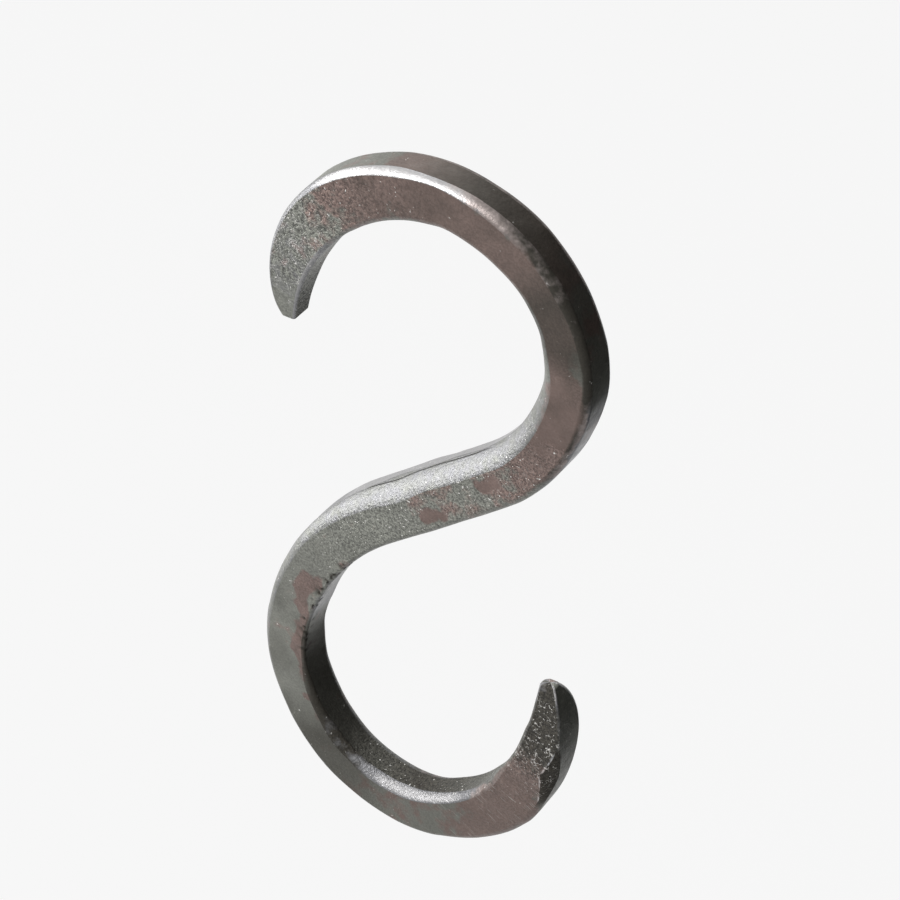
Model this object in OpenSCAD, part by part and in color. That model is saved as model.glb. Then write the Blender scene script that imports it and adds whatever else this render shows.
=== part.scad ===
// Forged S hook: one bar, bent into two opposed bights and drawn out to a blunt point at each end.
// Millimetres. The S stands in the XZ plane with +Z up, and its depth runs along Y.
// The origin is the seat under the crown of the upper bight, where the hook hangs.

/* [Bar] */
// Width of the bar, across the plane of the S
bar_w = 7; // [5:0.1:9]
// Depth of the bar, front to back
bar_t = 5.8; // [4.5:0.1:8]
// Radius of the bar's hammered corners
corner_r = 2; // [0.8:0.1:2.2]

/* [Shank] */
// Length of the straight stretch between the bights
shank_l = 20; // [8:0.5:30]
// Slope of that stretch above level, in degrees
shank_slope = 40; // [25:1:50]

/* [Upper bight] */
// Radius to the middle of the bar where it leaves the shank
upper_start_r = 30.5; // [20:0.5:45]
// The same along the side
upper_side_r = 17; // [12:0.5:30]
// The same over the crown
upper_crown_r = 21; // [12:0.5:40]

/* [Lower bight] */
// Radius to the middle of the bar where it leaves the shank
lower_start_r = 44; // [25:0.5:60]
// The same along the side
lower_side_r = 22.5; // [14:0.5:35]
// The same at the bottom
lower_bottom_r = 15.5; // [11:0.5:30]
// The same where it rises to the point
lower_rise_r = 25; // [12:0.5:40]

/* [Upper point] */
// Length over which the upper end is drawn down
upper_point_l = 24; // [12:0.5:26]
// Radius of its outer face
upper_outer_r = 23; // [14:0.5:40]
// Radius of its inner face
upper_inner_r = 29; // [25:1:120]
// Radius that its front and back are drawn down to
upper_nose_r = 9; // [6:0.5:30]
// Depth left at its very end
upper_nose_t = 2.4; // [1:0.1:4]

/* [Lower point] */
// Length over which the lower end is drawn down
lower_point_l = 21.5; // [12:0.5:26]
// Radius of its outer face
lower_outer_r = 29; // [14:0.5:40]
// Radius of its inner face
lower_inner_r = 50; // [25:1:120]
// Radius that its front and back are drawn down to
lower_nose_r = 18; // [6:0.5:30]
// Depth left at its very end
lower_nose_t = 1.2; // [1:0.1:4]

/* [Hidden] */
$fn = 96;
hook_colour = "#5b5a55";
// how far a cutting shape runs past the bar
spare = 2;
// how far the crest of a nose's rounding would stand out of the bar, so that it starts at an edge
nose_crest = 0.15;
// how much further than it needs a bend runs before its end is cut square, in degrees
spare_angle = 5;

// Every bend turns by an angle of the 3-4-5 triangle. Its sine and cosine are short decimals, so
// each bend's end meets the next bend's start exactly, and the bar joins into one solid.
low_angle = atan(3 / 4);
high_angle = 90 - low_angle;
upper_bends = [[upper_start_r, low_angle],
               [upper_side_r, 2 * high_angle],
               [upper_crown_r, low_angle]];
lower_bends = [[lower_start_r, low_angle],
               [lower_side_r, high_angle],
               [lower_bottom_r, 2 * low_angle],
               [lower_rise_r, low_angle]];

// Each half of the hook is laid out flat: it leaves the middle of the shank along +X and turns
// left. The bends below are pairs of radius and angle.

// Unit vector to the left of a heading
function left_of(heading) = [-sin(heading), cos(heading)];

// Middle of the bar where it has turned by the given angle, from the start of bend n
function place_turned(bends, turned, n = 0, start = [shank_l / 2, 0], heading = 0) =
    let (last = n == len(bends) - 1 || heading + bends[n][1] >= turned)
    let (end_heading = last ? turned : heading + bends[n][1])
    let (end = start + bends[n][0] * (left_of(heading) - left_of(end_heading)))
    last ? end : place_turned(bends, turned, n + 1, end, end_heading);

// The crown is where the upper half runs level again, and the seat is the bar's inner face there
crown_turn = 180 - shank_slope;
seat = place_turned(upper_bends, crown_turn) + bar_w / 2 * left_of(crown_turn);

// Section of the bar: a rectangle with round corners, its width along X and its depth along Y
module bar_section() {
    corner_x = bar_w / 2 - corner_r;
    corner_y = bar_t / 2 - corner_r;
    square([2 * corner_x, bar_t], center = true);
    square([bar_w, 2 * corner_y], center = true);
    for (x = [-corner_x, corner_x], y = [-corner_y, corner_y]) {
        translate([x, y]) circle(r = corner_r);
    }
}

// Half of the straight shank, from the middle of the hook
module half_shank() {
    rotate([90, 0, 90]) linear_extrude(height = shank_l / 2) bar_section();
}

// Goes to the end of a bend that starts at the origin along +X, and faces along the bar there
module after_bend(radius, angle) {
    translate([0, radius, 0]) rotate([0, 0, angle]) translate([0, -radius, 0]) children();
}

// Turns a profile left about an upright axis at the given radius, from the origin along +X
module turned_left(radius, angle) {
    translate([0, radius, 0]) rotate([0, 0, -90])
        rotate_extrude(angle = angle) translate([radius, 0]) children();
}

// One bend of the bar, with its end cut square
module bend(radius, angle) {
    difference() {
        turned_left(radius, angle + spare_angle) bar_section();
        after_bend(radius, angle) translate([0, -bar_w, -bar_w]) cube(2 * bar_w);
    }
}

// A run of bends, each from the end of the one before, with the children at the last one's end
module bent_bar(bends, n = 0) {
    if (n == len(bends)) {
        children();
    } else {
        bend(bends[n][0], bends[n][1]);
        after_bend(bends[n][0], bends[n][1]) bent_bar(bends, n + 1) children();
    }
}

// Angle that an arc of the given length and radius turns through
function arc_angle(length, radius) = length / radius * 180 / PI;

// End of an arc that starts at offset to the left of the bar's middle and turns left
function arc_end(offset, radius, angle) = [0, offset + radius] + radius * [sin(angle), -cos(angle)];

// All the metal there could be behind one face of a point. The face turns left at radius face_r,
// with the bar's round corners. Side is 1 for the outer face and -1 for the inner one.
module behind_face(face_r, side, angle) {
    reach = bar_w + spare;
    turned_left(face_r - side * bar_w / 2, angle) {
        bar_section();
        translate([-side * reach / 2, 0]) square([reach, bar_t], center = true);
    }
}

// Front-to-back outline of a point that faces +X and ends at the origin
module nose_outline(length, nose_r, nose_t) {
    centre_y = nose_r - bar_t / 2 - nose_crest;
    centre_x = -sqrt(pow(nose_r, 2) - pow(centre_y + nose_t / 2, 2));
    difference() {
        union() {
            intersection() {
                translate([centre_x, centre_y]) circle(r = nose_r);
                translate([centre_x, -centre_y]) circle(r = nose_r);
            }
            translate([centre_x - length, 0]) square([2 * length, bar_t + spare], center = true);
        }
        translate([length, 0]) square([2 * length, 2 * bar_t], center = true);
    }
}

// One drawn-down end, from the origin along +X and turning left. Its outer and inner faces close
// on each other, and its front and back round over to the nose.
module point(length, outer_r, inner_r, nose_r, nose_t) {
    outer_angle = arc_angle(length, outer_r);
    inner_angle = arc_angle(length, inner_r);
    outer_end = arc_end(-bar_w / 2, outer_r, outer_angle);
    inner_end = arc_end(bar_w / 2, inner_r, inner_angle);
    intersection() {
        behind_face(outer_r, 1, outer_angle + spare_angle);
        behind_face(inner_r, -1, inner_angle + 2 * spare_angle);
        translate((outer_end + inner_end) / 2) rotate([90, 0, (outer_angle + inner_angle) / 2])
            linear_extrude(height = 4 * bar_w, center = true)
            nose_outline(length, nose_r, nose_t);
    }
}

module s_hook() {
    color(hook_colour) rotate([90, -shank_slope, 0]) translate([-seat[0], -seat[1], 0]) {
        half_shank();
        translate([shank_l / 2, 0, 0]) bent_bar(upper_bends)
            point(upper_point_l, upper_outer_r, upper_inner_r, upper_nose_r, upper_nose_t);
        rotate([0, 0, 180]) {
            half_shank();
            translate([shank_l / 2, 0, 0]) bent_bar(lower_bends)
                point(lower_point_l, lower_outer_r, lower_inner_r, lower_nose_r, lower_nose_t);
        }
    }
}

s_hook();
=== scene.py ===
import math

import bpy
import numpy as np
from mathutils import Matrix, Vector


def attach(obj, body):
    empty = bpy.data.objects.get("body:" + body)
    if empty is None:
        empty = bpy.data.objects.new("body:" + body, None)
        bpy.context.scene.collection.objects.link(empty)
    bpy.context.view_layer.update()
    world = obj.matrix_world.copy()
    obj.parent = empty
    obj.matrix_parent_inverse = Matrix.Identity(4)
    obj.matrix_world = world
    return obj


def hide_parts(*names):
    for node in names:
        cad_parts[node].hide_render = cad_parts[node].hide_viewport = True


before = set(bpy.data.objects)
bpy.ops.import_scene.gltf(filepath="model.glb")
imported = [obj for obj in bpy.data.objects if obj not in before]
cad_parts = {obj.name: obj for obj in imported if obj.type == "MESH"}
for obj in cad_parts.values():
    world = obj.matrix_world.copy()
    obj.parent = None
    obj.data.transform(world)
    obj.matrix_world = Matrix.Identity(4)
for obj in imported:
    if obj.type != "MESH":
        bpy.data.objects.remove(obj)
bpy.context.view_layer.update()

# ---- Camera ---------------------------------------------------------------------------------
# A long lens well above and to the right of the hanging hook, level, aimed a few millimetres
# past the middle of its shank.
azimuth, elevation = math.radians(34.13), math.radians(40.46)
to_camera = Vector((math.sin(azimuth) * math.cos(elevation),
                    -math.cos(azimuth) * math.cos(elevation),
                    math.sin(elevation)))
right = Vector((math.cos(azimuth), math.sin(azimuth), 0))
up = to_camera.cross(right)
shank_middle = Vector((-0.0012, 0, -0.0402))
distance, aim_right, aim_up = 0.3809, 0.0010, 0.00496

camera = bpy.data.objects.new("camera", bpy.data.cameras.new("camera"))
bpy.context.collection.objects.link(camera)
camera.data.lens = 128
camera.data.clip_start, camera.data.clip_end = 0.01, 20
camera.location = shank_middle + distance * to_camera + aim_right * right + aim_up * up
camera.rotation_mode = "QUATERNION"
camera.rotation_quaternion = Matrix((right, up, to_camera)).transposed().to_quaternion()
bpy.context.scene.camera = camera

# ---- Hook -----------------------------------------------------------------------------------
# One length of quarter-inch square mild steel bar, forged slightly flat and bent hot over a
# horn into two opposed bights. Each end was drawn down on the anvil to a blunt point.

# Millimetres and degrees, as in the part's source. A bend is a radius and an angle. A point's
# middle line is taken as one arc, between the radii of its outer and inner faces.
bar_width = 7.0
shank_length, shank_slope = 20.0, 40.0
low_angle = math.degrees(math.atan(3 / 4))
high_angle = 90 - low_angle
upper_bends = ((30.5, low_angle), (17.0, 2 * high_angle), (21.0, low_angle))
lower_bends = ((44.0, low_angle), (22.5, high_angle), (15.5, 2 * low_angle), (25.0, low_angle))
upper_point_length, lower_point_length = 24.0, 21.5
upper_point_radius, lower_point_radius = 25.6, 36.7


def left_of(heading):
    """Unit vectors to the left of headings in degrees."""
    h = np.radians(heading)
    return np.stack([-np.sin(h), np.cos(h)], -1)


def bar_path(bends, point_length, point_radius, travel):
    """Places and headings on the bar's middle line, at distances travelled from the shank's
    middle, and the whole length to the tip. The line is straight for half the shank, then an arc
    per bend, then the point's arc. On an arc, place = start + radius * (left of the start's
    heading - left of the heading)."""
    start, heading, gone = np.array([shank_length / 2, 0.0]), 0.0, shank_length / 2
    place = np.stack([travel, 0 * travel], -1)
    headings = 0 * travel
    for radius, angle in (*bends, (point_radius, math.degrees(point_length / point_radius))):
        here = (travel > gone)[:, None]
        h = heading + np.degrees(np.clip(travel - gone, 0, None) / radius)
        place = np.where(here, start + radius * (left_of(heading) - left_of(h)), place)
        headings = np.where(here[:, 0], h, headings)
        start = start + radius * (left_of(heading) - left_of(heading + angle))
        heading += angle
        gone += radius * math.radians(angle)
    return place, headings, gone


def ease(x):
    """0 below 0, 1 above 1, and a smooth S between."""
    x = np.clip(x, 0, 1)
    return x * x * (3 - 2 * x)


def smooth_noise(points, size, seed):
    """Noise between about -1 and 1 that changes over the given size in millimetres: random
    values on a repeating lattice of cubes, blended smoothly inside each cube."""
    n, shift = 32, 0.37
    lattice = np.random.default_rng(seed).uniform(-1, 1, (n, n, n))
    q = points / size + shift * n
    whole = np.floor(q).astype(int)
    f = q - whole
    f = f * f * (3 - 2 * f)
    total = 0
    for corner in np.ndindex(2, 2, 2):
        i = (whole + corner) % n
        weight = np.prod(np.where(np.array(corner) == 1, f, 1 - f), -1)
        total = total + weight * lattice[i[..., 0], i[..., 1], i[..., 2]]
    return total


# Stations every fifth of a millimetre from the lower tip to the upper one. Travel is counted from
# the shank's middle, and below zero in the lower half, which is the same layout half turned.
# The lower tip stands a little proud of the arc's end, and the upper one stops short of it.
upper_half = upper_bends, upper_point_length, upper_point_radius
lower_half = lower_bends, lower_point_length, lower_point_radius
upper_end = bar_path(*upper_half, np.zeros(1))[2]
lower_end = bar_path(*lower_half, np.zeros(1))[2]
stations, lower_extra, upper_short = 1060, 1.0, 0.95
travel = np.linspace(-lower_end - lower_extra, upper_end - upper_short, stations)
upper_place, upper_heading, _ = bar_path(*upper_half, np.abs(travel))
lower_place, lower_heading, _ = bar_path(*lower_half, np.abs(travel))
is_upper = travel > 0
middle = np.where(is_upper[:, None], upper_place, -lower_place)
heading = np.where(is_upper, upper_heading, lower_heading)

# How far into each point a station is: 0 where the drawing down starts and 1 at the arc's end
into_upper = np.clip((travel - upper_end + upper_point_length) / upper_point_length, 0, 1)
into_lower = np.clip((-travel - lower_end + lower_point_length) / lower_point_length, 0, 1.1)

# The hammered section: the half width to each side of the middle line, and the depths in front
# of it and behind it. It swells and thins a little along the bar, and closes down along the
# points. A high power bites only near the tip, and rounds it over.
half_width = np.interp(travel, (-95, -45, 0, 45, 75), (3.65, 3.35, 3.65, 3.35, 3.5))
half_width -= 2.1 * into_upper ** 2 + 0.3 * into_upper ** 6 + 0.6 * into_upper ** 16
half_width -= 0.8 * into_lower + 1.1 * into_lower ** 2 + 0.4 * into_lower ** 3
half_depth = np.interp(travel, (-95, 0, 75), (2.8, 2.95, 2.7))
front = half_depth - 1.0 * into_upper ** 3 - 0.5 * into_lower ** 3
back = half_depth - 1.2 * into_upper ** 3 - 2.6 * into_lower ** 6

# Each tip ends in a blunt facet with eased edges: nine more rings that follow a quarter of an
# ellipse and shrink almost to a pole
ease_angle = np.radians(np.linspace(0, 90, 10)[1:])
tip_rounding, pole_share = 0.35, 0.001
shrink = np.cos(ease_angle) * (1 - pole_share) + pole_share
cap = np.r_[shrink[::-1], np.ones(len(travel)), shrink]
stand_out = tip_rounding * np.r_[-np.sin(ease_angle)[::-1], np.zeros(len(travel)),
                                 np.sin(ease_angle)]


def with_caps(values):
    """The stations' values with the end ones repeated for the caps' rings."""
    n = len(ease_angle)
    return np.concatenate([np.repeat(values[:1], n, 0), values, np.repeat(values[-1:], n, 0)])


middle, heading, travel = with_caps(middle), with_caps(heading), with_caps(travel)
half_width, front, back = with_caps(half_width), with_caps(front), with_caps(back)
forward = np.stack([np.cos(np.radians(heading)), np.sin(np.radians(heading))], -1)
middle = middle + stand_out[:, None] * forward

# The points' middle lines lean to the left of their arcs, by tenths of a millimetre
lean = 0.25 * into_upper ** 4 + 0.6 * into_upper ** 16 - 0.1 * np.sin(np.pi * into_lower)
middle = middle + with_caps(lean)[:, None] * left_of(heading)

# The four corners along the bar were hammered over into crowned facets. A facet reaches over the
# front or back by the first figure and down the side by the second. Both wander together by a
# sixth over 5 mm, and they get crisp towards the points. The corners are counted round the bar:
# front left, back left, back right and front right.
along_bar = np.stack([travel, 0 * travel, 0 * travel], -1)
wander_share, wander_size, apart = 0.16, 5, 50
wander = 1 + wander_share * np.stack(
    [smooth_noise(along_bar + apart * k, wander_size, 10 + k) for k in range(4)], -1)
point_to_point = -117, -95, 75, 99
front_left_travel = -117, -109, -103, -99, -92, -85, -24, -8, 10, 30, 60, 75, 99
front_right_travel = -117, -95, -80, -62, -54, -46, -26, -8, 30, 45, 54, 60, 72, 99
facet_reach = np.stack([
    np.interp(travel, front_left_travel,
              (0.2, 0.25, 1.9, 0.7, 0.8, 1.1, 1.35, 2.0, 2.0, 1.9, 1.5, 0.7, 0.25)),
    np.interp(travel, point_to_point, (0.6, 1.6, 1.6, 0.6)),
    np.interp(travel, point_to_point, (0.6, 1.5, 1.5, 0.6)),
    np.interp(travel, front_right_travel,
              (0.3, 0.8, 1.0, 1.3, 1.1, 0.55, 0.5, 0.8, 1.0, 1.0, 0.9, 0.65, 0.7, 0.35))], -1)
facet_drop = np.stack([
    np.interp(travel, (-117, -109, -103, -99, -92, -85, -24, -8, 10, 26, 60, 75, 99),
              (0.2, 0.25, 1.5, 0.7, 0.8, 1.1, 1.5, 2.9, 2.9, 1.9, 1.5, 0.7, 0.25)),
    np.interp(travel, point_to_point, (0.6, 1.5, 1.5, 0.6)),
    np.interp(travel, point_to_point, (0.6, 1.5, 1.5, 0.6)),
    np.interp(travel, front_right_travel,
              (0.3, 0.8, 1.3, 1.2, 0.9, 0.5, 0.5, 0.9, 1.0, 1.0, 1.0, 1.0, 1.0, 0.35))], -1)
facet_reach *= wander
facet_drop *= wander

# Neighbours keep clear of each other. The front left facet takes more of its side than the back
# left one, and the two on the right share theirs.
room_across, room_deep = 0.9 * half_width[:, None], 0.45 * (front + back)[:, None]
side_split = np.array([1.25, 0.75, 1.0, 1.0])
facet_reach = np.minimum(facet_reach, room_across)
facet_drop = np.minimum(facet_drop, side_split * room_deep)

# Ring round the section, counted from the front crease of the front left corner. Across is to
# the left and behind is to the back. Each corner is a superellipse of 10 points between its two
# creases: a share of the facet's reach equal to cosine ** (2 / crown), and of its drop equal to
# sine ** (2 / crown), so it is near flat at a crown of 1.5 and round at 2. Each side has 11 more
# points, closer together by its creases.
corner_steps, side_steps = 10, 11
plain_crown = 1.45
front_right_crown = np.interp(travel, (-68, -58, -40, -30, 20, 28, 50, 58),
                              (1.5, 2, 2, 1.5, 1.5, 1.9, 1.9, 1.5))
crown = np.stack([np.full(len(travel), plain_crown)] * 3 + [front_right_crown], -1)
corner_share = (1 - np.cos(np.linspace(0, np.pi, corner_steps))) / 2
side_share = ((1 - np.cos(np.linspace(0, np.pi, side_steps + 2))) / 2)[1:-1]
least_slope = 1e-9
signs = ((1, -1), (1, 1), (-1, 1), (-1, -1))
corners = []
for k, (side, face) in enumerate(signs):
    theta = np.pi / 2 * (corner_share if side * face > 0 else 1 - corner_share)
    depth = (front if face < 0 else back)[:, None]
    reach, drop = facet_reach[:, k, None], facet_drop[:, k, None]
    power = 2 / crown[:, k, None]
    corner_across = side * (half_width[:, None] - reach + reach * np.cos(theta) ** power)
    corner_behind = face * (depth - drop + drop * np.sin(theta) ** power)
    across_slope = side * (np.cos(theta) + least_slope) ** (2 - power) / reach
    behind_slope = face * (np.sin(theta) + least_slope) ** (2 - power) / drop
    corners.append((corner_across, corner_behind, across_slope, behind_slope))
across, behind, outward = [], [], []
for k in range(4):
    corner_across, corner_behind, across_slope, behind_slope = corners[k]
    next_across, next_behind = corners[(k + 1) % 4][:2]
    end_across, end_behind = corner_across[:, -1:], corner_behind[:, -1:]
    across += [corner_across, end_across + (next_across[:, :1] - end_across) * side_share]
    behind += [corner_behind, end_behind + (next_behind[:, :1] - end_behind) * side_share]
    length = np.hypot(across_slope, behind_slope)
    flat_out = np.array(((1, 0), (0, 1), (-1, 0), (0, -1))[k])
    outward += [np.stack([across_slope / length, behind_slope / length], -1),
                np.broadcast_to(flat_out, (len(travel), side_steps, 2))]
across, behind, outward = (np.concatenate(parts, 1) for parts in (across, behind, outward))
section_middle = ((back - front) / 2)[:, None]
across = across * cap[:, None]
behind = section_middle + (behind - section_middle) * cap[:, None]


def to_frame(x_flat, y_flat, y):
    """Flat layout to the part's frame: moved to the upper seat and turned by the shank's slope."""
    slope = math.radians(shank_slope)
    x = (x_flat - seat[0]) * math.cos(slope) - (y_flat - seat[1]) * math.sin(slope)
    z = (x_flat - seat[0]) * math.sin(slope) + (y_flat - seat[1]) * math.cos(slope)
    return np.stack([x, y, z], -1)


# The upper seat is the inner face where the bar has turned from the shank to level
crown_turn = 180 - shank_slope
seat_travel = (shank_length / 2 + upper_bends[0][0] * math.radians(low_angle)
               + upper_bends[1][0] * math.radians(crown_turn - low_angle))
seat = (bar_path(*upper_half, np.array([seat_travel]))[0][0]
        + bar_width / 2 * left_of(crown_turn))

sideways = left_of(heading)[:, None, :]
flat = middle[:, None, :] + across[..., None] * sideways
points = to_frame(flat[..., 0], flat[..., 1], behind)
flat_tip = flat + outward[..., :1] * sideways
normals = to_frame(flat_tip[..., 0], flat_tip[..., 1], behind + outward[..., 1]) - points

# The shares of the section that face left, right, front and back
faces_left, faces_right, faces_front, faces_back = (
    np.clip(way, 0, 1) ** 2
    for way in (outward[..., 0], -outward[..., 0], -outward[..., 1], outward[..., 1]))


def along(*figures):
    """Values along the bar, between pairs of travel and value."""
    return np.interp(travel, figures[::2], figures[1::2])[:, None]


# Hammer marks: the skin is pressed flat in patches a few millimetres across. Each patch is a
# plane through its middle, tilted a little, and neighbours blend over their shared border. Lumps
# and a fine grain lie over them. Heights and depths are in millimetres.
lump_height, dent_height, grain_height, wrinkle_height, nick_depth = 0.03, 0.014, 0.005, 0.10, 0.32
random = np.random.default_rng(4)
patch_count, patch_slope, patch_sharpness, least_weight = 230, 0.012, 0.25, 1e-30
picked = (random.integers(0, len(travel), patch_count),
          random.integers(0, across.shape[1], patch_count))
patch_middle = points[picked]
patch_tilt = random.normal(0, patch_slope, (patch_count, 3))
offset = points.reshape(-1, 3)[:, None, :] - patch_middle[None, :, :]
weight = np.exp(-patch_sharpness * (offset ** 2).sum(-1))
weight /= weight.sum(-1, keepdims=True) + least_weight
hammered = (weight * (offset * patch_tilt[None]).sum(-1)).sum(-1).reshape(across.shape)
lumps = lump_height * smooth_noise(points, 11, 1) + dent_height * smooth_noise(points, 3.1, 2)
grain = grain_height * smooth_noise(points, 0.9, 3)

# The lower point's front wrinkled as it was drawn down: folds about a millimetre apart
folds = 1 - np.abs(smooth_noise(points * (1, 1, 1.6), 1.1, 21))
wrinkles = wrinkle_height * folds * faces_front * along(-117, 0.5, -115, 1, -105, 1, -101, 0)

# Nicks that the hammer's edge left along the front right corner where the lower bight begins:
# irregular pits about half a millimetre across, gone a millimetre or two from the corner
nick_reach, nicks_middle, nicks_half_length = 1.1, -31, 13
off_corner = np.hypot(across + half_width[:, None], behind + front[:, None])
nicks = np.clip(smooth_noise(points, 0.5, 31) - 0.05, 0, 1)
nicks *= np.exp(-(off_corner / nick_reach) ** 2)
nicks *= nick_depth * np.exp(-((travel - nicks_middle) / nicks_half_length) ** 4)[:, None]
raised = cap[:, None] * (hammered + lumps + grain + wrinkles - nicks)
points = points + raised[..., None] * normals

# Quads between the rings, and a fan of triangles at each tip
rows, columns = across.shape
tips = np.stack([points[0].mean(0), points[-1].mean(0)])
vertices = np.concatenate([points.reshape(-1, 3), tips]) / 1000
i, j = np.meshgrid(np.arange(rows - 1), np.arange(columns), indexing="ij")
quads = np.stack([i * columns + j, (i + 1) * columns + j,
                  (i + 1) * columns + (j + 1) % columns, i * columns + (j + 1) % columns], -1)
ring, next_on_ring = np.arange(columns), (np.arange(columns) + 1) % columns
first_pole, last_ring = rows * columns, (rows - 1) * columns
first_fan = np.stack([np.full(columns, first_pole), ring, next_on_ring], -1)
last_fan = np.stack([np.full(columns, first_pole + 1), last_ring + next_on_ring,
                     last_ring + ring], -1)
faces = quads.reshape(-1, 4).tolist() + first_fan.tolist() + last_fan.tolist()
mesh = bpy.data.meshes.new("forged_hook")
mesh.from_pydata(vertices, [], faces)
mesh.shade_smooth()

# 1 on each corner's facet, without its creases, and an arch over the front right one
column = np.arange(columns)
corner_start = np.arange(4) * (corner_steps + side_steps)
facet = [((column > first) & (column < first + corner_steps - 1)).astype(float)
         for first in corner_start]
inside_corner_3 = np.clip((column - corner_start[3]) / (corner_steps - 1), 0, 1)
corner_3_middle = facet[3] * np.sin(np.pi * inside_corner_3)
mottle = smooth_noise(points, 1.6, 71)

# How strong each finish is at every point: 0 is none and 1 is full. Some figures pass 1, so that
# a mottled finish closes up there. Brown scale lies thickest on the front round the upper bight
# and at the bottom of the lower one.
brown = (faces_front * along(-117, .25, -108, .3, -100, .75, -90, .8, -82, .5, -66, .3, -45, .25,
                             -30, .3, -20, .25, -8, .25, -2, .4, 4, .42, 13, .5, 16, .66, 22, .8,
                             60, .8, 72, .65, 80, .42, 90, .38, 93, .2, 99, .15)
         + faces_right * along(-90, .3, -30, .2, 0, .3, 30, .35, 46, .5, 56, .95, 64, .8, 68, .3,
                               90, .2)
         + faces_left * along(-117, .2, -80, .5, -40, .3, -10, .12, 20, .1, 50, .3, 80, .3)
         + faces_back * .5)
brown *= 1 - 0.85 * facet[0] * along(-30, 0, -16, 1, 40, 1, 50, 0)
brown *= 1 - 0.85 * facet[3] * along(-92, 0, -86, 1, -64, 1, -58, 0, 56, 0, 62, 1, 80, 1)

# Painted shade, with some soot: darkest on the right sides of both bights, which face away from the
# lamps, and also on the lower point's front and its facet, along the front right corner of each
# bight, on the back, and in the nicks.
soot_and_shade = (faces_right * along(-96, .7, -84, 1.1, -76, 1.3, -68, 1, -60, 1, -42, .95, -37, .3,
                            -31, 0, -10, .2, 12, .3, 24, .1, 31, .15, 38, .8, 50, 1.2, 57, 1.25,
                            61, 1.05, 65, .65, 70, .3, 84, .3, 88, .2, 93, .6, 99, .8)
        + facet[3] * along(-70, 0, -62, .9, -40, .8, -30, 0)
        + corner_3_middle ** 2 * along(16, 0, 22, 1.2, 44, 1.3, 50, .5, 54, 0) * (1 + .6 * mottle)
        + facet[0] * along(-109, 0, -107.5, 1.9, -100, 1.9, -97, 0)
        + faces_left * along(-117, .3, -104, .3, -96, .25, -70, .3, -30, 0, 88, .15, 95, .5,
                             99, .6)
        + faces_front * along(-117, 1.3, -106, 1.3, -101, .35, -90, .35, -72, .5, -66, 1,
                              -58, .95, -50, .1, -40, 0, 14, 0, 20, .15, 30, .1, 34, .2, 38, .95,
                              44, 1.1, 49, .35, 53, .15, 70, .1, 80, 0)
        + faces_back * .35 + nicks * 9)

# The skin is pitted coarsely on the shank's front and on both points.
coarse = (faces_front * along(-117, 1, -103, 1, -99, .3, -84, .1, -70, .15, -40, .1, -26, .35,
                              -16, .8, 14, .8, 24, .6, 34, .15, 60, .1, 72, .6, 82, 1.2, 90, 1.2,
                              93, .4, 99, .25)
          + faces_right * along(-100, .7, -72, .9, -60, .3, -50, .05, -20, .2, 20, .1, 60, .05,
                                99, .5)
          + faces_left * along(-117, .2, -40, .2, -10, .3, 20, .3, 99, .8) + faces_back * .4
          + facet[3] * along(-92, 0, -84, .3, -60, .4, -54, 0))

# Bare metal shows from 0.3 up, and above 1 it is painted towards near white as a highlight: on the
# facets, along the top of the shank, as a painted sheen on a rim under it, and at the very end of
# the lower point.
bare_metal_and_highlight = (facet[0] * along(-117, 1.3, -115.8, 1.2, -114.8, .45, -109, .4, -108, .05, -98, .05,
                              -92, .3, -30, .45, -18, .64, 10, .68, 20, .62, 30, .45, 60, .3,
                              78, .4, 84, .9, 99, .9)
             + facet[3] * along(-117, .5, -104, .4, -92, .5, -84, 1.26, -70, 1.26, -64, .5,
                                -50, .05, -10, .1, 36, .1, 50, .42, 54, .7, 58, 1.35, 72, 1.6,
                                80, .7, 99, .7)
             + (facet[1] + facet[2]) * .45
             + faces_right * along(-39, 0, -34, .75, -20, .5, -12, 0, 14, 0, 19, .9, 29, 1, 34, 0)
             + along(-118, .35, -117, .35, -116.6, 0) * (1 + mottle)
             + (1 - facet[0]) * faces_left * along(-24, 0, -14, 1.3, 18, 1.3, 26, 0)
             + faces_front * along(-50, 0, -36, .15, -24, 0, 80, 0, 84, .42, 91, .42, 95, .3,
                                   99, .3))

# Less of it above the hairline, and towards the two creases of the front right facet, so that the
# painted highlight there is brightest along the facet's middle
bare_metal_and_highlight -= 0.06 * facet[0] * ease((behind + 0.8) / 0.6) * along(-24, 0, -14, 1, 14, 1, 24, 0)
bare_metal_and_highlight -= (facet[3] - corner_3_middle) * along(-94, 0, -86, .55, -66, .55, -58, 0,
                                                  52, 0, 58, .4, 78, .4, 84, 0)

# A jagged painted highlight along the crease above the lower point's facet, which is painted dark
jagged = (np.clip(2.2 * smooth_noise(points, 0.35, 61) + 0.5, 0, 1)
          * along(-109, 0, -107, 1.3, -99, 1.3, -98, 0))
by_front_crease = (-1, 0, 1)
bare_metal_and_highlight[:, by_front_crease] += jagged[:, by_front_crease]


def off_oval(travel_to, across_to, half_long, half_wide):
    """How far each point is from an oval's middle on the front face: 1 on its rim."""
    return np.hypot((travel[:, None] - travel_to) / half_long, (across - across_to) / half_wide)


# Smooth brown scale that came through the hammering, as spots on the front face of the shank
spots = 0
for oval in ((-0.5, -1.5, 2.4, 1.1), (11.2, 0.1, 1.9, 1.2), (28, 0.3, 5.0, 3.5)):
    spot = faces_front * ease(2.6 - 2.2 * off_oval(*oval) + 1.3 * smooth_noise(points, 1.3, 51))
    brown += 0.4 * spot
    spots = np.maximum(spots, spot)
    coarse *= 1 - 0.9 * spot

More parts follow.
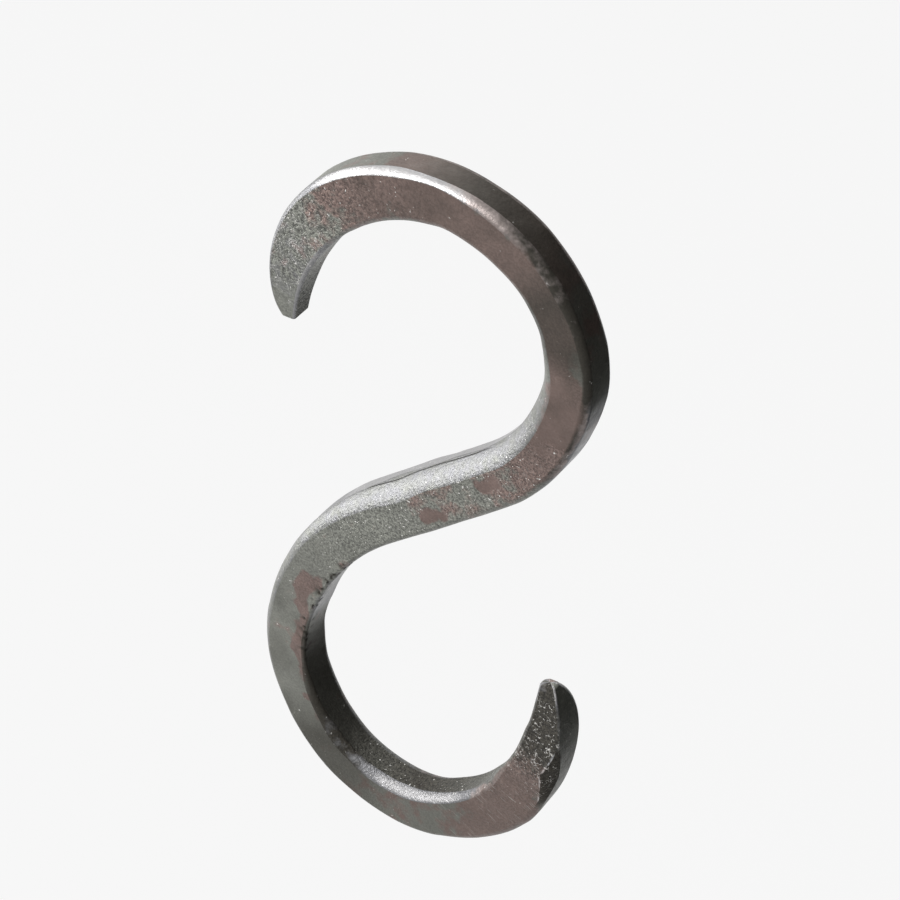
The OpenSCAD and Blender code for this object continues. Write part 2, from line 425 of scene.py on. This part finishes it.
# Rougher patches and smudges of the scale: brown low on the left, towards the inner side, and
# grey-green and sooty ones round the bights, towards the upper one's outer side
for oval in ((-30, -1.0, 3.6, 1.5), (-43, -2.5, 9.0, 1.1)):
    patch = ease(2.0 - 1.6 * off_oval(*oval) + 0.9 * smooth_noise(points, 1.6, 52))
    brown += 0.45 * faces_front * patch
smudge = smooth_noise(points, 3.6, 81)
outer_half = np.clip(-across / half_width[:, None], 0, 1)
brown -= (faces_front * outer_half * np.clip(0.5 + smudge, 0, 1)
          * along(30, 0, 36, .6, 50, .6, 60, 0))
soot_and_shade += (faces_front * np.clip(0.2 + smudge, 0, 1)
         * along(-66, 0, -56, .3, -34, .3, -26, 0, 22, 0, 28, .35, 70, .35, 78, 0))

# A dark hairline in a shallow groove along the top of the shank that waves a little, half a
# millimetre in front of the middle
hairline_behind, hairline_wave = -0.5, 0.12
off_hairline = behind - hairline_behind - hairline_wave * smooth_noise(along_bar, 3, 41)[:, None]
hairline_mask = (faces_left + facet[0]) * along(-12, 0, -9, 1, 10, 1, 14, 0)

# Painted glints in crumpled lines where the ends and the shank's front were worked coldest, and
# scratches low down
glinting = faces_front * (1 - spots) * along(
    -117, .6, -113, .9, -110, 1.3, -104, 1.2, -101, .5, -98, 0, -8, 0, -2, .5, 12, .5,
    16, .2, 24, .1, 30, 0, 78, 0, 82, 1, 91, 1, 93, .3, 99, .3)
scratchy = faces_front * along(-106, 0, -101, 1, -84, 1, -78, 0, -12, 0, -6, .4, 16, .4, 26, 0)
finishes = {"brown": brown, "soot_and_shade": soot_and_shade, "coarse": coarse, "bare_metal_and_highlight": bare_metal_and_highlight, "hairline_mask": hairline_mask,
            "off_hairline": off_hairline, "glinting": glinting, "scratchy": scratchy}
for name, values in finishes.items():
    attribute = mesh.attributes.new(name, "FLOAT", "POINT")
    end_values = values[0].mean(), values[-1].mean()
    attribute.data.foreach_set("value", np.r_[values.ravel(), end_values].astype(np.float32))
hook = bpy.data.objects.new("forged_hook", mesh)
bpy.context.collection.objects.link(hook)
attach(hook, "root")
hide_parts("s_hook")


def linear(hex_colour):
    """sRGB hex to linear red, green and blue, with alpha 1."""
    values = [int(hex_colour[k:k + 2], 16) / 255 for k in (1, 3, 5)]
    return [v / 12.92 if v <= 0.04045 else ((v + 0.055) / 1.055) ** 2.4 for v in values] + [1]


def add_node(tree, kind, inputs=None, **settings):
    """A node with its settings, and its inputs given as values or as other nodes' outputs."""
    node = tree.nodes.new(kind)
    for name, value in settings.items():
        setattr(node, name, value)
    for name, value in (inputs or {}).items():
        if isinstance(value, bpy.types.NodeSocket):
            tree.links.new(value, node.inputs[name])
        else:
            node.inputs[name].default_value = value
    return node


# Mild steel, forged and waxed: a skin of grey-green fire scale, stained brown where it is thicker,
# pitted where it was hammered cold, and rubbed to bare grey metal on the corners' facets, with
# painted shade, painted highlights and painted glints laid into its colour. Half of its look is the
# matt scale and half is the sheen of the metal and wax.
steel = bpy.data.materials.new("forged_and_waxed_mild_steel")
steel.use_nodes = True
tree = steel.node_tree
tree.nodes.clear()
place = add_node(tree, "ShaderNodeTexCoord").outputs["Object"]
brown, soot_and_shade, coarse, bare_metal_and_highlight, hairline_mask, off_hairline, glinting, scratchy = (
    add_node(tree, "ShaderNodeAttribute", attribute_name=name).outputs["Fac"]
    for name in finishes)

# Noises by the size of their blotches in millimetres: clouds and crumbs in the scale, the grit of
# its pits, specks for painted glints, and the crumpled folds for painted glint lines. Real grit is
# finer, and is drawn this coarse to show.
clouds, crumbs, grit, specks, folding = (
    add_node(tree, "ShaderNodeTexNoise", {"Vector": place, "Scale": 1000 / size, "Detail": detail,
                                         "Roughness": rough}).outputs["Fac"]
    for size, detail, rough in ((4.5, 4.0, 0.6), (1.3, 4.0, 0.55), (0.32, 2.0, 0.7), (0.40, 1.0, 0.5),
                                (0.9, 2.0, 0.5)))

# Scratches: the same kind of noise, drawn out to hairs 0.16 mm wide and 2.5 mm long that lean
# across the front
hair_space = add_node(tree, "ShaderNodeMapping", {
    "Vector": place, "Rotation": (0, math.radians(118), 0),
    "Scale": (0.00016, 0.0025, 0.0025)}, vector_type="TEXTURE").outputs[0]
scratches = add_node(tree, "ShaderNodeTexNoise", {"Vector": hair_space, "Scale": 1.0,
                                                 "Detail": 1.0}).outputs["Fac"]

# Values times a figure plus another value: crumbs and clouds break up the brown, pits the specks,
# and crumbs the border of the bare metal and its painted highlight
brownness, speckling, wear = (
    add_node(tree, "ShaderNodeMath", {0: value, 1: times, 2: plus}, operation="MULTIPLY_ADD").outputs[0]
    for value, times, plus in ((crumbs, 0.5, brown), (coarse, 0.5, crumbs), (crumbs, 1.2, bare_metal_and_highlight)))
brownness = add_node(tree, "ShaderNodeMath", {0: clouds, 1: 1.2, 2: brownness},
                     operation="MULTIPLY_ADD").outputs[0]
off_fold = add_node(tree, "ShaderNodeMath", {0: folding, 1: 0.5}, operation="SUBTRACT").outputs[0]
hairline_distance, fold_distance = (
    add_node(tree, "ShaderNodeMath", {0: value}, operation="ABSOLUTE").outputs[0]
    for value in (off_hairline, off_fold))

# Values stretched from one range to another: name, value, from, from, to, to
stretched = {
    name: add_node(tree, "ShaderNodeMapRange", {"Value": value, "From Min": low, "From Max": high,
                                               "To Min": low_out, "To Max": high_out}).outputs[0]
    for name, value, low, high, low_out, high_out in (
        ("stained", brownness, 1.24, 1.42, 0, 1),
        ("crumbly", crumbs, 0.3, 0.7, 0.9, 1.1),
        ("cloudy", clouds, 0.3, 0.7, 0.84, 1.16),
        ("pit_shade", coarse, 0, 1, 0.95, 0.42),
        ("grain_highlight", coarse, 0, 1, 1.05, 1.68),
        ("rubbed", wear, 0.9, 1.4, 0, 1),
        ("metal_grit", grit, 0.35, 0.65, 0.86, 1.14),
        ("painted_highlight", bare_metal_and_highlight, 1, 2, 0, 1),
        ("speck", specks, 0.70, 0.75, 0, 1),
        ("speckled", speckling, 0.62, 0.8, 0, 1),
        ("line", hairline_distance, 0.02, 0.11, 0.8, 0),
        ("pit_depth", coarse, 0, 1, 0.08, 1.0),
        ("roughness", crumbs, 0.3, 0.7, 0.32, 0.44),
        ("hair", scratches, 0.66, 0.71, 0, 0.5),
        ("fold_line", fold_distance, 0.005, 0.022, 0.85, 0),
        ("fold_piece", crumbs, 0.5, 0.58, 0, 1))}
rubbed, roughness = stretched["rubbed"], stretched["roughness"]
# The grit is painted darker in its pits and paler on its raised grains: painted shade and highlight
# that follow the bump's relief
grit_shade_and_highlight = add_node(tree, "ShaderNodeMapRange", {
    "Value": grit, "From Min": 0.38, "From Max": 0.62, "To Min": stretched["pit_shade"],
    "To Max": stretched["grain_highlight"]}).outputs[0]

# Products of two values
glint_fleck, shade_and_soot_share, hairline_dark, pit_height, scratched, fold_glint = (
    add_node(tree, "ShaderNodeMath", {0: first, 1: second}, operation="MULTIPLY").outputs[0]
    for first, second in (
        (stretched["speck"], stretched["speckled"]), (soot_and_shade, 0.75), (stretched["line"], hairline_mask),
        (grit, stretched["pit_depth"]), (stretched["hair"], scratchy),
        (stretched["fold_line"], stretched["fold_piece"])))
fold_glint = add_node(tree, "ShaderNodeMath", {0: fold_glint, 1: glinting}, operation="MULTIPLY").outputs[0]

# The bare metal's colour, painted towards near white for the highlights, and then the skin's, with
# its painted shade and glints: each layer is mixed or multiplied over the last
metal_colour = skin_colour = None
for blend, share, under, over in (
        ("MIX", stretched["stained"], linear("#7a7a7c"), linear("#8f8683")),
        ("MULTIPLY", 1.0, None, stretched["metal_grit"]),
        ("MIX", stretched["painted_highlight"], None, linear("#e4e2e1"))):
    metal_colour = add_node(tree, "ShaderNodeMix", {0: share, 6: under or metal_colour, 7: over},
                            data_type="RGBA", blend_type=blend).outputs[2]
for blend, share, under, over in (
        ("MIX", stretched["stained"], linear("#7b7c75"), linear("#75645e")),
        ("MULTIPLY", 1.0, None, stretched["crumbly"]),
        ("MULTIPLY", 1.0, None, stretched["cloudy"]),
        ("MIX", shade_and_soot_share, None, linear("#393630")),
        ("MULTIPLY", 1.0, None, grit_shade_and_highlight),
        ("MIX", rubbed, None, metal_colour),
        ("MIX", scratched, None, linear("#a8a49f")),
        ("MIX", fold_glint, None, linear("#cfcdc9")),
        ("MIX", glint_fleck, None, linear("#dddbd7")),
        ("MIX", hairline_dark, None, linear("#3a3937"))):
    skin_colour = add_node(tree, "ShaderNodeMix", {0: share, 6: under or skin_colour, 7: over},
                           data_type="RGBA", blend_type=blend).outputs[2]

# The pits, crumbs, raised specks and hairline as a height, and the metal's gloss: glossier where
# it is rubbed and duller under the painted shade and soot
deepest_pit = 0.00024
height = pit_height
for value, times in ((crumbs, 0.25), (glint_fleck, 0.4), (hairline_dark, -0.5)):
    height = add_node(tree, "ShaderNodeMath", {0: value, 1: times, 2: height},
                      operation="MULTIPLY_ADD").outputs[0]
bump = add_node(tree, "ShaderNodeBump", {"Height": height, "Strength": 1.0,
                                         "Distance": deepest_pit})
metallic = add_node(tree, "ShaderNodeMath", {0: rubbed, 1: 0.35, 2: 0.6}, operation="MULTIPLY_ADD")
for value, times in ((rubbed, -0.06), (shade_and_soot_share, 0.2)):
    roughness = add_node(tree, "ShaderNodeMath", {0: value, 1: times, 2: roughness},
                         operation="MULTIPLY_ADD").outputs[0]
surface = add_node(tree, "ShaderNodeBsdfPrincipled", {
    "Base Color": skin_colour, "Metallic": metallic.outputs[0], "Roughness": roughness,
    "Normal": bump.outputs["Normal"]})
add_node(tree, "ShaderNodeOutputMaterial", {"Surface": surface.outputs["BSDF"]})
mesh.materials.append(steel)

# ---- Floor and light ------------------------------------------------------------------------
# The hook hangs over a wide pale paper floor in a pale studio. Large soft lamps stand to its left
# and to its upper left in front, with a weak one behind, and a black card keeps its right dark.


def pale_to_the_eye(nodes, share):
    """The given share for rays that see the studio straight, in a gloss or through glass."""
    seen = add_node(nodes, "ShaderNodeLightPath").outputs
    either = add_node(nodes, "ShaderNodeMath", {0: seen["Is Camera Ray"], 1: seen["Is Glossy Ray"]},
                      operation="MAXIMUM").outputs[0]
    any_of_them = add_node(nodes, "ShaderNodeMath", {0: either, 1: seen["Is Transmission Ray"]},
                           operation="MAXIMUM").outputs[0]
    return add_node(nodes, "ShaderNodeMath", {0: any_of_them, 1: share},
                    operation="MULTIPLY").outputs[0]


def flat_sheet(name, corners):
    """One four-sided sheet that is part of the studio."""
    sheet_mesh = bpy.data.meshes.new(name)
    sheet_mesh.from_pydata(corners, [], [(0, 1, 2, 3)])
    sheet = bpy.data.objects.new(name, sheet_mesh)
    bpy.context.collection.objects.link(sheet)
    return sheet


pale = linear("#f7f7f7")
half, level = 6, -0.5
floor = flat_sheet("paper_floor", [(-half, -half, level), (half, -half, level),
                                   (half, half, level), (-half, half, level)])
paper = bpy.data.materials.new("matt_white_paper")
paper.use_nodes = True
nodes = paper.node_tree
nodes.nodes.clear()
diffuse = add_node(nodes, "ShaderNodeBsdfDiffuse", {"Color": pale})
glow = add_node(nodes, "ShaderNodeEmission", {"Color": pale, "Strength": 1.0})
both = add_node(nodes, "ShaderNodeMixShader", {0: pale_to_the_eye(nodes, 0.97), 1: diffuse.outputs[0],
                                              2: glow.outputs[0]})
add_node(nodes, "ShaderNodeOutputMaterial", {"Surface": both.outputs[0]})
floor.data.materials.append(paper)

world = bpy.data.worlds.new("studio")
bpy.context.scene.world = world
world.use_nodes = True
nodes = world.node_tree
background = nodes.nodes["Background"]
background.inputs["Color"].default_value = pale
room_light = 0.27
strength = add_node(nodes, "ShaderNodeMath", {0: pale_to_the_eye(nodes, 1 - room_light),
                                              1: room_light}, operation="ADD")
nodes.links.new(strength.outputs[0], background.inputs["Strength"])

black_card = flat_sheet("black_card", [(0.40, -0.05, -0.45), (0.06, 0.34, -0.45),
                                       (0.06, 0.34, 0.4), (0.40, -0.05, 0.4)])
velvet = bpy.data.materials.new("black_velvet_card")
velvet.use_nodes = True
velvet.node_tree.nodes["Principled BSDF"].inputs["Base Color"].default_value = linear("#2e2e2e")
velvet.node_tree.nodes["Principled BSDF"].inputs["Roughness"].default_value = 1.0
black_card.data.materials.append(velvet)
black_card.visible_camera = False
black_card.visible_shadow = False


def soft_lamp(name, place, target, size, watts):
    """A square area lamp at a place, facing a target."""
    lamp = bpy.data.lights.new(name, "AREA")
    lamp.size, lamp.energy = size, watts
    stand = bpy.data.objects.new(name, lamp)
    bpy.context.collection.objects.link(stand)
    stand.location = place
    stand.rotation_mode = "QUATERNION"
    stand.rotation_quaternion = (Vector(place) - Vector(target)).to_track_quat("Z", "Y")
    stand.visible_camera = False


hook_middle = (0, 0, -0.045)
soft_lamp("left_softbox", (-0.95, -0.10, 0.0), hook_middle, 0.7, 6.5)
soft_lamp("front_softbox", (-0.42, -0.60, 0.55), hook_middle, 0.36, 7)
soft_lamp("back_softbox", (-0.45, 0.70, 0.60), hook_middle, 0.5, 3.2)

bpy.context.scene.view_settings.view_transform = "Standard"
